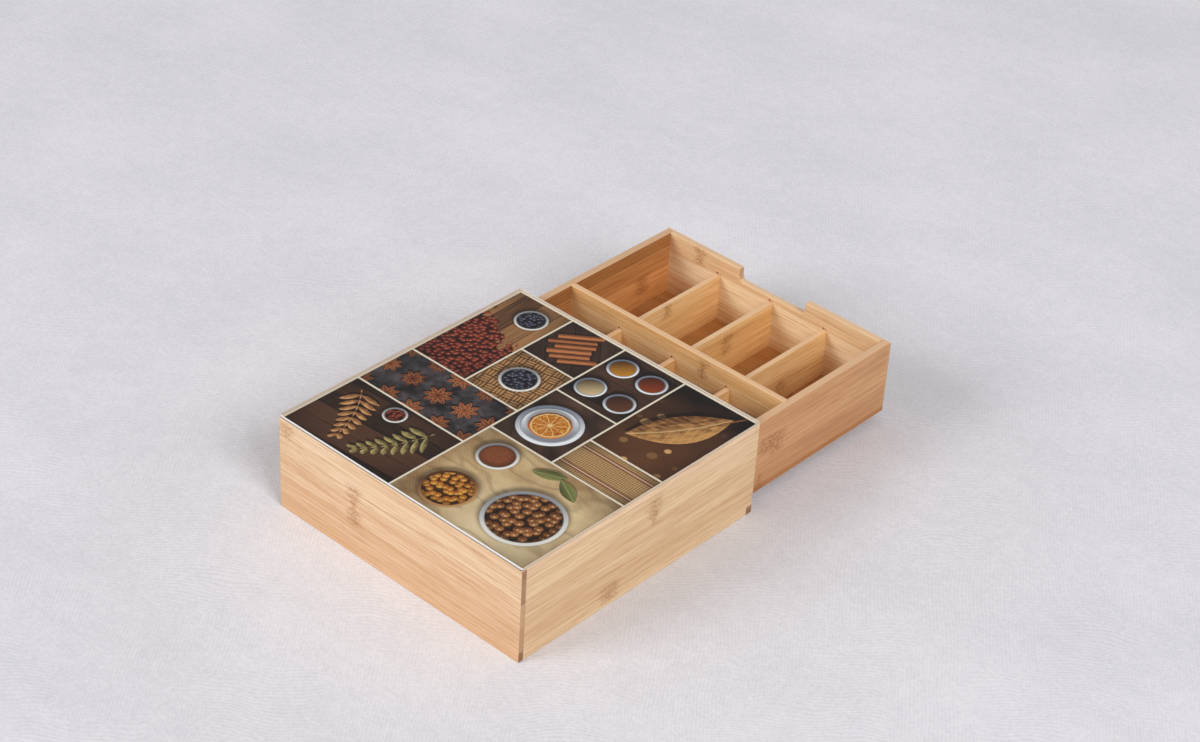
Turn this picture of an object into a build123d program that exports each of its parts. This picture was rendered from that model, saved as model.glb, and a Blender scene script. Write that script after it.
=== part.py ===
from build123d import *
import os

os.makedirs("parts", exist_ok=True)

# A tea bag drawer box of edge-glued bamboo boards, with a printed glass top.
# Millimetres, +Z up. The origin is the centre of the case's underside.
# The case opens towards -Y, and the drawer slides out that way.

# ---------------------------------------------------------------- the case
case_width = 310.0
case_depth = 316.0
case_height = 104.5
case_board = 8.5           # side walls and back wall
back_tongue = 5.7          # the back wall's end that shows beside each side wall
top_board = 6.0
base_board = 9.4
rail_depth = 9.0           # the batten across the front of the base
glass_thickness = 3.0
print_thickness = 0.3
glass_inset = 0.4          # how far the glass stays inside the boards all round
glass_corner = 2.0
glass_chamfer = 0.35
front_round = 2.0          # upright rounding at the mouth of the case
case_arris = 0.8           # softened outer edges

# -------------------------------------------------------------- the drawer
side_gap = 1.0             # between the drawer and each side wall
floor_gap = 0.4            # between the drawer and the base it runs on
rear_gap = 1.0             # between the shut drawer and the back wall
head_gap = 4.1             # between the drawer and the top board
drawer_open = 211.6        # how far the drawer stands out at rest
drawer_side = 8.5
drawer_end = 7.5           # front board and back board
end_tongue = 2.5           # the end boards' lip over the ends of the side boards
drawer_floor = 4.0
floor_rise = 5.5           # from the drawer's lower edge to the underside of its floor
floor_groove = 3.0
drawer_arris = 1.0
notch_width = 85.7
notch_depth = 14.4
notch_corner = 6.0
notch_lip = 2.0

# ------------------------------------------------------------ the dividers
columns = 4
long_divider_thickness = 6.5
long_divider_housing = 2.5     # depth of its housing in each side board
cross_divider_thickness = 5.5
divider_drop = 19.6            # the cross dividers end this far below the walls
end_housing = 2.0              # housings in the front and back boards
middle_housing = 1.5           # housings in the long divider
housing_headroom = 2.6         # a housing runs this far above the divider in it
divider_arris = 0.7
play = 0.2                     # left at the bottom of every groove and housing

# ---------------------------------------------------- sizes that follow
half_width = case_width / 2
front_y = -case_depth / 2
back_y = case_depth / 2
glass_bottom = case_height - glass_thickness
wall_top = glass_bottom - print_thickness
top_board_bottom = wall_top - top_board
side_end_y = back_y - back_tongue
inner_half = half_width - case_board
inner_back_y = back_y - case_board
rail_back_y = front_y + rail_depth

drawer_length = inner_back_y - rear_gap - front_y
drawer_front_y = front_y - drawer_open
drawer_back_y = drawer_front_y + drawer_length
drawer_half = inner_half - side_gap
drawer_bottom_z = base_board + floor_gap
drawer_top_z = top_board_bottom - head_gap
drawer_height = drawer_top_z - drawer_bottom_z
floor_bottom_z = drawer_bottom_z + floor_rise
floor_top_z = floor_bottom_z + drawer_floor

room_half = drawer_half - drawer_side
room_front_y = drawer_front_y + drawer_end
room_back_y = drawer_back_y - drawer_end
middle_y = (room_front_y + room_back_y) / 2
middle_front_y = middle_y - long_divider_thickness / 2
middle_back_y = middle_y + long_divider_thickness / 2
divider_top_z = drawer_top_z - divider_drop
housing_top_z = divider_top_z + housing_headroom
column_width = (2 * room_half - (columns - 1) * cross_divider_thickness) / columns
divider_pitch = column_width + cross_divider_thickness


def keep(piece, name):
    """Name a finished piece and write it as its own file."""
    piece.part.label = name
    export_step(piece.part, "parts/" + name + ".step")
    print(name, round(piece.part.volume / 1000, 1), "cm3")


def slab(x0, x1, y0, y1, z0, z1, mode=Mode.ADD):
    """A squared board between two corners, added to the piece being made."""
    with BuildSketch(Plane.XY.offset(z0)) as outline:
        with Locations(((x0 + x1) / 2, (y0 + y1) / 2)):
            Rectangle(x1 - x0, y1 - y0)
    extrude(outline.sketch, amount=z1 - z0, mode=mode)


# ======================================================= the case's walls
# The two side walls stand on the table and carry the top board. The front
# rail's end passes through the lower front corner of each.
for name, side in (("case_side_left", -1), ("case_side_right", 1)):
    outer_x = side * half_width
    inner_x = side * inner_half
    with BuildPart() as case_side:
        slab(min(outer_x, inner_x), max(outer_x, inner_x), front_y, side_end_y,
             0, top_board_bottom)
        mouth = case_side.faces().sort_by(Axis.Y)[0].edges().filter_by(Axis.Z)
        outer_edge = mouth.sort_by(Axis.X)[-1 if side > 0 else 0]
        inner_edge = mouth.sort_by(Axis.X)[0 if side > 0 else -1]
        fillet(outer_edge, radius=min(front_round, case_board * 0.45))
        fillet(inner_edge, radius=min(case_arris, case_board * 0.2))
        slab(-case_width, case_width, front_y - 1, rail_back_y, -1, base_board,
             mode=Mode.SUBTRACT)
    keep(case_side, name)

# The back wall covers the full width. Its ends are rebated from the inside,
# so that a tongue laps the end of each side wall, and its upper edge is
# level with the top board.
with BuildPart() as case_back:
    slab(-half_width, half_width, inner_back_y, back_y, 0, wall_top)
    corners = case_back.faces().sort_by(Axis.Y)[-1].edges().filter_by(Axis.Z)
    fillet(corners, radius=min(case_arris, back_tongue * 0.4))
    for side in (-1, 1):
        near_x = min(side * inner_half, side * (half_width + 1))
        far_x = max(side * inner_half, side * (half_width + 1))
        slab(near_x, far_x, inner_back_y - 1, side_end_y, -1, wall_top + 1,
             mode=Mode.SUBTRACT)
keep(case_back, "case_back")

# The base fills the floor of the case behind the rail, flush underneath.
with BuildPart() as case_base:
    slab(-inner_half, inner_half, rail_back_y, inner_back_y, 0, base_board)
keep(case_base, "case_base")

# The front rail runs right through both side walls, so its square end
# grain shows on the outside.
with BuildPart() as case_front_rail:
    slab(-half_width, half_width, front_y, rail_back_y, 0, base_board)
    rail_ends = case_front_rail.faces().sort_by(Axis.Y)[0].edges().filter_by(Axis.Z)
    fillet(rail_ends, radius=min(front_round, rail_depth * 0.45))
keep(case_front_rail, "case_front_rail")

# The top board lies on the side walls and ends against the back wall's
# tongues. Its long edge is the pale band under the glass.
with BuildPart() as case_top_board:
    slab(-half_width, half_width, front_y, side_end_y, top_board_bottom, wall_top)
    board_ends = case_top_board.faces().sort_by(Axis.Y)[0].edges().filter_by(Axis.Z)
    fillet(board_ends, radius=min(front_round, case_board * 0.45))
    slab(-inner_half, inner_half, inner_back_y, back_y, top_board_bottom - 1,
         wall_top + 1, mode=Mode.SUBTRACT)
keep(case_top_board, "case_top_board")


# ============================================ the printed sheet and glass
glass_half = half_width - glass_inset
glass_length = case_depth - 2 * glass_inset

with BuildPart() as print_sheet:
    with BuildSketch(Plane.XY.offset(wall_top)):
        RectangleRounded(2 * glass_half, glass_length, glass_corner)
    extrude(amount=print_thickness)
keep(print_sheet, "print_sheet")

with BuildPart() as glass_top:
    with BuildSketch(Plane.XY.offset(glass_bottom)):
        RectangleRounded(2 * glass_half, glass_length, glass_corner)
    extrude(amount=glass_thickness)
    rim = glass_top.faces().sort_by(Axis.Z)[-1].edges()
    chamfer(rim, length=min(glass_chamfer, glass_thickness * 0.3))
keep(glass_top, "glass_top")


# ====================================================== the drawer's walls
def end_board(outer_y, into, notched):
    """A drawer end. into is +1 when the drawer's inside lies towards +Y."""
    notch_bottom_z = drawer_top_z - notch_depth
    with BuildPart() as board:
        with BuildSketch(Plane.XZ.offset(-outer_y)) as outline:
            with Locations((0, (drawer_bottom_z + drawer_top_z) / 2)):
                Rectangle(2 * drawer_half, drawer_height)
            if notched:
                with Locations((0, notch_bottom_z + notch_depth)):
                    Rectangle(notch_width, 2 * notch_depth, mode=Mode.SUBTRACT)
        extrude(outline.sketch, amount=-into * drawer_end)
        if notched:
            upright = board.edges().filter_by(Axis.Y)
            low = upright.filter_by_position(Axis.Z, notch_bottom_z - 0.1, notch_bottom_z + 0.1)
            fillet(low, radius=min(notch_corner, notch_depth * 0.6))
            upright = board.edges().filter_by(Axis.Y)
            high = upright.filter_by_position(Axis.Z, drawer_top_z - 0.1, drawer_top_z + 0.1)
            lips = high.filter_by_position(Axis.X, -notch_width / 2 - 0.1, notch_width / 2 + 0.1)
            fillet(lips, radius=min(notch_lip, notch_depth * 0.3))
        # The upper edges are softened on both faces, also round the notch.
        top_edges = board.edges().filter_by_position(
            Axis.Z, drawer_top_z - notch_depth - 0.1, drawer_top_z + 0.1)
        top_edges = top_edges.filter_by(lambda e: abs(e.tangent_at(0.5).Y) < 0.5)
        fillet(top_edges, radius=min(drawer_arris, drawer_end * 0.2))
        # The rebates at both ends take the side boards.
        lap_y = outer_y + into * end_tongue
        inside_y = outer_y + into * (drawer_end + 1)
        for side in (-1, 1):
            near_x = min(side * room_half, side * (drawer_half + 1))
            far_x = max(side * room_half, side * (drawer_half + 1))
            slab(near_x, far_x, min(lap_y, inside_y), max(lap_y, inside_y),
                 drawer_bottom_z - 1, drawer_top_z + 1, mode=Mode.SUBTRACT)
        # The groove for the floor, and a housing for each cross divider.
        face_y = outer_y + into * drawer_end
        groove_y = face_y - into * floor_groove
        slab(-drawer_half, drawer_half, min(groove_y, inside_y), max(groove_y, inside_y),
             floor_bottom_z, floor_top_z, mode=Mode.SUBTRACT)
        housing_y = face_y - into * end_housing
        for k in range(columns - 1):
            x = (k + 1 - columns / 2) * divider_pitch
            slab(x - cross_divider_thickness / 2, x + cross_divider_thickness / 2,
                 min(housing_y, inside_y), max(housing_y, inside_y),
                 floor_top_z, housing_top_z, mode=Mode.SUBTRACT)
    return board


drawer_front = end_board(drawer_front_y, 1, True)
keep(drawer_front, "drawer_front")

drawer_back = end_board(drawer_back_y, -1, False)
keep(drawer_back, "drawer_back")

# The side boards stand between the end boards' tongues. Each has the floor's
# groove and, half way along, a housing for the long divider.
for name, side in (("drawer_side_left", -1), ("drawer_side_right", 1)):
    outer_x = side * drawer_half
    inner_x = side * room_half
    past_x = side * (room_half - 1)
    groove_x = side * (room_half + floor_groove)
    housing_x = side * (room_half + long_divider_housing)
    with BuildPart() as drawer_side_board:
        slab(min(outer_x, inner_x), max(outer_x, inner_x),
             drawer_front_y + end_tongue, drawer_back_y - end_tongue,
             drawer_bottom_z, drawer_top_z)
        long_edges = drawer_side_board.faces().sort_by(Axis.Z)[-1].edges().filter_by(Axis.Y)
        fillet(long_edges, radius=min(drawer_arris, drawer_side * 0.2))
        slab(min(groove_x, past_x), max(groove_x, past_x),
             drawer_front_y, drawer_back_y, floor_bottom_z, floor_top_z, mode=Mode.SUBTRACT)
        slab(min(housing_x, past_x), max(housing_x, past_x),
             middle_front_y, middle_back_y, floor_top_z, drawer_top_z + 1,
             mode=Mode.SUBTRACT)
    keep(drawer_side_board, name)

# The floor runs in the grooves of all four boards.
floor_reach_x = room_half + floor_groove - play
with BuildPart() as drawer_floor_panel:
    slab(-floor_reach_x, floor_reach_x,
         room_front_y - floor_groove + play, room_back_y + floor_groove - play,
         floor_bottom_z, floor_top_z)
keep(drawer_floor_panel, "drawer_floor")


# ========================================================== the dividers
# The long divider splits the drawer into two rows and is as high as the
# drawer's walls. Both of its faces have housings for the cross dividers.
long_reach = room_half + long_divider_housing - play
with BuildPart() as long_divider:
    slab(-long_reach, long_reach, middle_front_y, middle_back_y, floor_top_z, drawer_top_z)
    ridge = long_divider.faces().sort_by(Axis.Z)[-1].edges().filter_by(Axis.X)
    fillet(ridge, radius=min(divider_arris, long_divider_thickness * 0.2))
    for k in range(columns - 1):
        x = (k + 1 - columns / 2) * divider_pitch
        for face_y, depth_y in ((middle_front_y, middle_front_y + middle_housing),
                                (middle_back_y, middle_back_y - middle_housing)):
            past_y = face_y + (face_y - depth_y)
            slab(x - cross_divider_thickness / 2, x + cross_divider_thickness / 2,
                 min(depth_y, past_y), max(depth_y, past_y),
                 floor_top_z, housing_top_z, mode=Mode.SUBTRACT)
keep(long_divider, "long_divider")

# Each row has its own cross dividers, lower than the walls, so that the
# tea bags' upper ends stand free.
front_row = (room_front_y - end_housing + play, middle_front_y + middle_housing - play)
rear_row = (middle_back_y - middle_housing + play, room_back_y + end_housing - play)
for row_name, row in (("front", front_row), ("rear", rear_row)):
    for k in range(columns - 1):
        x = (k + 1 - columns / 2) * divider_pitch
        with BuildPart() as cross_divider:
            slab(x - cross_divider_thickness / 2, x + cross_divider_thickness / 2,
                 row[0], row[1], floor_top_z, divider_top_z)
            ridge = cross_divider.faces().sort_by(Axis.Z)[-1].edges().filter_by(Axis.Y)
            fillet(ridge, radius=min(divider_arris, cross_divider_thickness * 0.2))
        keep(cross_divider, "cross_divider_" + row_name + "_" + str(k + 1))

print("case", case_width, case_depth, case_height)
print("drawer from y", round(drawer_front_y, 2), "to", round(drawer_back_y, 2),
      "z", round(drawer_bottom_z, 2), "to", round(drawer_top_z, 2))
print("compartments", columns * 2, "each", round(column_width, 2), "by",
      round(middle_front_y - room_front_y, 2))
print("drawer height", round(drawer_height, 2), "dividers", round(divider_top_z - floor_top_z, 2))
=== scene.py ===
# %% [markdown]
# A bamboo drawer box for tea bags, dressed for a photograph.
# The boards, the drawer, the dividers and the glass come from the imported model,
# which is loaded first. Everything below is in metres and in the same frame:
# +Z is up, and the drawer opens towards -Y.

# %% Load the imported model
import math

import bmesh
import bpy
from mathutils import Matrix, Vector


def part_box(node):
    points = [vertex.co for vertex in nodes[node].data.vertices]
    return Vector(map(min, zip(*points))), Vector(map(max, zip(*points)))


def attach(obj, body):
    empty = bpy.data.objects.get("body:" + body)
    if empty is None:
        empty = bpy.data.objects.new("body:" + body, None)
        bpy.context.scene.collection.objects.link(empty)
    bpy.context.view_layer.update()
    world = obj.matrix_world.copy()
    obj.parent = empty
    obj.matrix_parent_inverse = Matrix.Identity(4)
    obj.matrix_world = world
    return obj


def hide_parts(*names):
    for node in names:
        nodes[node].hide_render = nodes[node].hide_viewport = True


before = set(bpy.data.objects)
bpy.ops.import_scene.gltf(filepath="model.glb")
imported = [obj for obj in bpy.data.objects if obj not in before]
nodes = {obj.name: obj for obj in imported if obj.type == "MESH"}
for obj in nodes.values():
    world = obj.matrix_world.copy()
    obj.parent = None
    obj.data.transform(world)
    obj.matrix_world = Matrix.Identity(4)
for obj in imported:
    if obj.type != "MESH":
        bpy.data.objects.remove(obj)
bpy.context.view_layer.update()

print("boards and panes:", len(nodes))

# %% [markdown]
# The camera comes first, because it settles what has to look right. The box was
# photographed from behind and above, with a long lens about two and a half metres
# away and a slight tilt of the camera. Its place, its turn and its lens are those
# that put the corners of the case where the photograph has them.
# Colours are shown as they are, with the Standard view.

# %% Camera
CAMERA_PLACE = (-1.34695, 1.45222, 1.51887)
CAMERA_TURN_DEG = (55.5158, -2.9708, -137.1163)
LENS_MM = 79.513
SENSOR_MM = 36.0
SIGHT = 30.0

camera_data = bpy.data.cameras.new("camera")
camera_data.lens = LENS_MM
camera_data.sensor_width = SENSOR_MM
camera_data.clip_end = SIGHT
camera = bpy.data.objects.new("camera", camera_data)
camera.location = CAMERA_PLACE
camera.rotation_euler = [math.radians(a) for a in CAMERA_TURN_DEG]
bpy.context.scene.collection.objects.link(camera)
bpy.context.scene.camera = camera
bpy.context.scene.view_settings.view_transform = "Standard"
print("camera at", CAMERA_PLACE, "lens", LENS_MM)

# %% [markdown]
# A material is written here as arithmetic. A Wire stands for one socket of a node
# tree, and adding or multiplying wires adds the Math nodes that do it, so a
# pattern reads like the formula it is. Colours don't go through Math nodes, which
# would turn them grey: they are mixed by Mix nodes. Every other node comes from
# one method of Recipe, which takes the node's type, its settings and its sockets.


# %% Shader arithmetic
class Wire:
    """A socket that Python arithmetic can use."""

    def __init__(self, recipe, socket):
        self.recipe, self.socket = recipe, socket

    def maths(self, operation, *others):
        return self.recipe.node("Math", {"operation": operation}, (self, *others))

    def __add__(self, other):
        return self.maths("ADD", other)

    def __sub__(self, other):
        return self.maths("SUBTRACT", other)

    def __rsub__(self, other):
        return self.recipe.node("Math", {"operation": "SUBTRACT"}, (other, self))

    def __mul__(self, other):
        return self.maths("MULTIPLY", other)

    def __truediv__(self, other):
        return self.maths("DIVIDE", other)

    def __abs__(self):
        return self.maths("ABSOLUTE")

    __radd__ = __add__
    __rmul__ = __mul__

    def floor(self):
        return self.maths("FLOOR")

    def fract(self):
        return self.maths("FRACT")

    def sine(self):
        return self.maths("SINE")

    def least(self, other):
        return self.maths("MINIMUM", other)

    def most(self, other):
        return self.maths("MAXIMUM", other)

    def rise(self, low, high):
        """0 below low, 1 above high, and a smooth rise between them."""
        inputs = {"Value": self, "From Min": low, "From Max": high}
        return self.recipe.node("MapRange", {"interpolation_type": "SMOOTHSTEP"}, inputs)

    def fall(self, low, high):
        """1 below low, 0 above high."""
        return 1 - self.rise(low, high)


class Recipe:
    """One material and the nodes that make it."""

    def __init__(self, name):
        self.material = bpy.data.materials.new(name)
        self.material.use_nodes = True
        self.tree = self.material.node_tree
        self.tree.nodes.clear()
        self.output = self.tree.nodes.new("ShaderNodeOutputMaterial")
        self.kept = {}

    def set_socket(self, socket, value):
        """Link a wire, or write a number or a colour straight on the socket."""
        if isinstance(value, Wire):
            self.tree.links.new(value.socket, socket)
        elif hasattr(socket.default_value, "__len__") and len(socket.default_value) == 4:
            socket.default_value = (*value[:3], 1.0)
        else:
            socket.default_value = value

    def node(self, kind, settings=None, inputs=None, out=0):
        """Any node: its type, its settings, its sockets, and the output that is wanted."""
        made = self.tree.nodes.new("ShaderNode" + kind)
        for key, value in (settings or {}).items():
            if key == "stops":
                ramp = made.color_ramp.elements
                while len(ramp) < len(value):
                    ramp.new(1.0)
                for stop, (position, colour) in zip(ramp, value):
                    stop.position, stop.color = position, (*colour, 1.0)
            else:
                setattr(made, key, value)
        pairs = inputs.items() if isinstance(inputs, dict) else enumerate(inputs or ())
        for key, value in pairs:
            self.set_socket(made.inputs[key], value)
        return Wire(self, made.outputs[out])

    def parts(self, wire, kind="SeparateXYZ"):
        """A vector or a colour taken apart into its wires."""
        made = self.node(kind, inputs=(wire,)).socket.node
        return [Wire(self, socket) for socket in made.outputs]

    def place(self):
        """The point's X, Y and Z on the object, as three wires."""
        if "place" not in self.kept:
            self.kept["place"] = self.parts(self.node("TexCoord", out="Object"))
        return self.kept["place"]

    def facing(self):
        """The surface's own direction, as three wires."""
        if "facing" not in self.kept:
            self.kept["facing"] = self.parts(self.node("TexCoord", out="Normal"))
        return self.kept["facing"]

    def point(self, x, y, z=0.0):
        return self.node("CombineXYZ", inputs=(x, y, z))

    def noise(self, x, y, z=0.0, detail=2.0, roughness=0.5):
        inputs = {"Vector": self.point(x, y, z), "Scale": 1.0}
        return self.node("TexNoise", None, {**inputs, "Detail": detail, "Roughness": roughness})

    def chance(self, number, seed):
        """Three random wires that are the same wherever number is the same."""
        draw = self.node("TexWhiteNoise", {"noise_dimensions": "1D"}, {"W": number + seed}, "Color")
        return self.parts(draw, "SeparateColor")[:3]

    def mix(self, factor, a, b, blend="MIX"):
        """Colour a where factor is 0, colour b where it is 1."""
        made = self.tree.nodes.new("ShaderNodeMix")
        made.data_type, made.blend_type = "RGBA", blend
        for index, value in ((0, factor), (6, a), (7, b)):
            self.set_socket(made.inputs[index], value)
        return Wire(self, made.outputs[2])

    def surface(self, colour, roughness, specular=0.5, relief=None):
        """A Principled surface, with a Bump node where there is a relief."""
        inputs = {"Base Color": colour, "Roughness": roughness, "Specular IOR Level": specular}
        if relief:
            height, strength, distance = relief
            bump = {"Strength": strength, "Distance": distance, "Height": height}
            inputs["Normal"] = self.node("Bump", None, bump)
        return self.node("BsdfPrincipled", None, inputs)

    def finish(self, shader):
        self.tree.links.new(shader.socket, self.output.inputs["Surface"])
        return self.material


def srgb(red, green, blue):
    """A colour as read off a screen, 0 to 255, made linear."""
    parts = [c / 255 for c in (red, green, blue)]
    return tuple(c / 12.92 if c <= 0.04045 else ((c + 0.055) / 1.055) ** 2.4 for c in parts)


print("shader arithmetic ready, mid grey is", round(srgb(128, 128, 128)[0], 3))

# %% [markdown]
# The studio is a pale cloth on a table, wide enough that its edge is never seen.
# It is woven, so it has fine ribs both ways that wander a little. In some patches
# the ribs show and in others the threads across them, with fluff and mottles over
# both and broad stains of tone. Real folds could be modelled, but a cloth pulled
# flat has none that show from here, so a Bump node is enough.

# %% Cloth floor
RIB = 0.0042
THREAD_APART = RIB * 0.8
FLOOR_REACH = 6.0
FLOOR_DROP = 0.0002
CLOTH_TONES = (srgb(222, 221, 225), srgb(241, 239, 243))


def cloth_floor():
    recipe = Recipe("pale_cloth")
    x, y, _ = recipe.place()
    wander = recipe.noise(x * 9, y * 9) * 0.05
    ribs = ((y * 0.75 - x * 0.6 + wander) * (math.tau / RIB)).sine()
    threads = ((x * 0.8 + y * 0.6 + wander * 0.3) * (math.tau / THREAD_APART)).sine()
    patches = recipe.noise(x * 9, y * 9, 3.0).rise(0.35, 0.65)
    fluff = recipe.noise(x * 230, y * 230, 3.0, detail=3.0, roughness=0.75)
    mottle = recipe.noise(x * 60, y * 60, 5.0, detail=3.0, roughness=0.6)
    weave = ribs * patches * 0.12 + threads * (1 - patches) * 0.1
    weave = weave + (fluff - 0.5) * 1.3 + (mottle - 0.5) * 0.55
    stain = recipe.noise(x * 5.2, y * 5.2, detail=5.0, roughness=0.6)
    crease = recipe.noise(x * 1.6 + y * 0.9, y * 5.5 - x * 2.2, detail=4.0)
    tone = (stain - 0.5) * 0.8 + (crease - 0.5) * 0.7 + weave + 0.5
    colour = recipe.mix(tone.rise(0.0, 1.0), *CLOTH_TONES)
    relief = (weave * 0.2 + crease, 0.4, 0.004)
    return recipe.finish(recipe.surface(colour, 0.95, 0.1, relief))


floor_mesh = bpy.data.meshes.new("cloth_floor")
floor_corners = [(x * FLOOR_REACH, y * FLOOR_REACH, -FLOOR_DROP)
                 for x, y in ((-1, -1), (1, -1), (1, 1), (-1, 1))]
floor_mesh.from_pydata(floor_corners, [], [(0, 1, 2, 3)])
floor = bpy.data.objects.new("cloth_floor", floor_mesh)
bpy.context.scene.collection.objects.link(floor)
floor.data.materials.append(cloth_floor())
print("floor reaches", FLOOR_REACH, "m each way, ribs", RIB * 1000, "mm apart")

# %% [markdown]
# Two softboxes and a pale room light the box. The key stands far off and rather
# low, behind the case on its +X side: it lights the back board and the top, and
# the case and the dividers throw their shade into the compartments. The fill
# hangs high on the -X side, where the camera stands. It lights the near side of
# the case and reaches down into the drawer. Both are large, so every shadow has a
# soft edge, and both are far away, so the light hardly changes from one end of
# the box to the other.


# %% Lamps and room
def softbox(name, place, size, power):
    data = bpy.data.lights.new(name, "AREA")
    data.shape = "SQUARE"
    data.size = size
    data.energy = power
    lamp = bpy.data.objects.new(name, data)
    lamp.location = place
    lamp.rotation_euler = (BOX_MIDDLE - Vector(place)).to_track_quat("-Z", "Y").to_euler()
    bpy.context.scene.collection.objects.link(lamp)


BOX_MIDDLE = Vector((0.0, -0.1, 0.05))
ROOM_COLOUR = srgb(250, 249, 252)
ROOM_STRENGTH = 0.4
softbox("key_softbox", place=(6.75, 13.4, 8.2), size=7.5, power=1360.0)
softbox("fill_softbox", place=(-8.3, 2.4, 7.0), size=4.4, power=580.0)

room = bpy.data.worlds.new("pale_room")
room.use_nodes = True
background = room.node_tree.nodes["Background"]
background.inputs["Color"].default_value = (*ROOM_COLOUR, 1.0)
background.inputs["Strength"].default_value = ROOM_STRENGTH
bpy.context.scene.world = room

# %% [markdown]
# The boards are bamboo. Split canes are planed into strips about two centimetres
# wide and glued edge to edge, so a board shows parallel strips of slightly
# different tone, a fine straight grain, and here and there a knuckle, where the
# cane had a joint: a short mottled band right across its strip. The ends of a
# board show the cut fibres as dark dots. An image of wood would repeat on every
# board, so one recipe draws them all. It is told which way the grain runs and
# which way the strips are stacked, and each board shifts the pattern its own way.
# A board's clearest knuckles are given to it, and where none are given they fall
# by chance. A stain multiplies the colour between two heights, for a strip that is
# redder or browner than its neighbours. Upward faces get a paler, pinker tone, partly
# the planed wood's own and partly painted light: the brightness of a top lit from above.

# %% Bamboo recipe
CANE_JOINT = 0.31
KNUCKLE_NARROW, KNUCKLE_SPREAD = 0.005, 0.013
KNUCKLE_WOBBLE = 0.008
RING_HALF = 0.0016
STRIP_WANDER, STRIP_SHIFT = 0.003, 0.0417
STAIN_EDGE = 0.0005
SEAM_HALF = 0.0006
PORES_PER_METRE = 1100
END_TONES = (srgb(206, 164, 126), srgb(128, 88, 56))
AXES = {"X": 0, "Y": 1, "Z": 2}


def bamboo(name, along, across, seed, tones, strip=0.024, knuckles=(), seams=(),
           stains=(), planed_and_lit_top=None, even=0.7):
    """A board whose grain runs along one axis, with its strips stacked across another."""
    pale, tan, dark = tones
    recipe = Recipe(name)
    place = recipe.place()
    through = ({"X", "Y", "Z"} - {along, across}).pop()
    u, height, w = place[AXES[along]], place[AXES[across]], place[AXES[through]]
    drift = recipe.noise(u * 5 + seed, height * 9, w * 9, detail=1.0) - 0.5
    v = height + drift * STRIP_WANDER + seed * STRIP_SHIFT

    number = (v / strip).floor()
    inside = (v / strip).fract()
    tone_draw, shift_draw, knot_draw = recipe.chance(number, seed * 3.7)

    # The grain: wide soft bands, streaks, and thin dark bundles of fibre.
    own_u = u + shift_draw * 3 + seed * 0.31
    bands = recipe.noise(own_u * 3, v * 60, w * 60, detail=1.0)
    broad = recipe.noise(own_u * 5, v * 190, w * 190)
    streak = recipe.noise(own_u * 8, v * 640, w * 640, detail=3.0, roughness=0.65)
    fibre = recipe.noise(own_u * 26, v * 700, w * 700, detail=3.0, roughness=0.7)
    bundles = streak.rise(0.53, 0.72)

    # A knuckle: short dashes in a band of uneven width right across its strip.
    wobble = (recipe.noise(v * 170, w * 170, own_u * 12) - 0.5) * KNUCKLE_WOBBLE
    widening = recipe.noise(v * 80, w * 80, seed * 1.7, detail=1.0).rise(0.3, 0.7)
    reach = widening * KNUCKLE_SPREAD + KNUCKLE_NARROW
    if knuckles:
        marks = [(u - at_u, abs(height - at_v).fall(half * 0.6, half * 1.15))
                 for at_u, at_v, half in knuckles]
    else:
        marks = [(((own_u / CANE_JOINT).fract() - 0.5) * CANE_JOINT,
                  knot_draw.rise(0.5, 0.6) * abs(inside - 0.5).fall(0.3, 0.5))]
    zone, ring = 0.0, 0.0
    for gap, across_it in marks:
        gap = gap + wobble
        zone = (abs(gap) / reach).fall(0.25, 1.0) * across_it + zone
        ring = abs(gap).fall(0.0, RING_HALF) * across_it + ring
    dashes = recipe.noise(u * 280, v * 600, w * 600, roughness=0.6).rise(0.42, 0.62)

    # Tone: the strip's own, the bands' and streaks', and the glue line.
    strips = (tone_draw + bands - 1.0) * even
    grain = (broad - 0.5) * 0.9 + (streak - 0.5) * 1.1 + (fibre - 0.5) * 0.8
    colour = recipe.mix((strips + grain + 0.5).rise(0.0, 1.0), pale, tan)
    depth = bundles * 0.26 + fibre.rise(0.48, 0.66) * 0.24
    depth = depth + zone * (dashes * 0.44 + 0.14) + ring * 0.1
    glue = abs(inside - 0.5).rise(0.485, 0.498) * 0.14
    colour = recipe.mix((depth + glue).least(1.0), colour, dark)
    for low, high, tint in stains:
        above = height.rise(low - STAIN_EDGE, low + STAIN_EDGE)
        below = height.fall(high - STAIN_EDGE, high + STAIN_EDGE)
        colour = recipe.mix(above * below, colour, tint, "MULTIPLY")
    # Painted light: upward faces get a paler tone, partly the planed wood's own and partly the
    # brightness of tops lit from above.
    if planed_and_lit_top:
        top = recipe.facing()[2].rise(0.55, 0.9)
        colour = recipe.mix(top * 0.75, colour, recipe.mix(streak, *planed_and_lit_top))

    # Cut ends: darker, dotted by the fibres, and each strip's its own tone.
    end = abs(recipe.facing()[AXES[along]]).rise(0.6, 0.9)
    pores = recipe.point(v * PORES_PER_METRE, w * PORES_PER_METRE)
    dots = recipe.node("TexVoronoi", None, {"Vector": pores, "Scale": 1.0}).fall(0.2, 0.5)
    layers = recipe.noise(v * 300, w * 300)
    cut = dots * 0.3 + layers * 0.3 + shift_draw * 0.75 - 0.1
    colour = recipe.mix(end * 0.92, colour, recipe.mix(cut.rise(0.0, 1.0), *END_TONES))

    # Where another board meets this one, the joint is a thin dark line.
    for axis, position in seams:
        seam = abs(place[AXES[axis]] - position).fall(SEAM_HALF / 3, SEAM_HALF)
        colour = recipe.mix(seam * 0.45, colour, dark)

    height_map = streak * 0.7 - bundles * 0.3 + fibre * 0.25 + zone * dashes * 0.4
    relief = (height_map, 0.22, 0.0004)
    return recipe.finish(recipe.surface(colour, streak * 0.16 + 0.38, 0.35, relief))


print("bamboo recipe ready, knuckles about every", CANE_JOINT * 1000, "mm")

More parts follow.
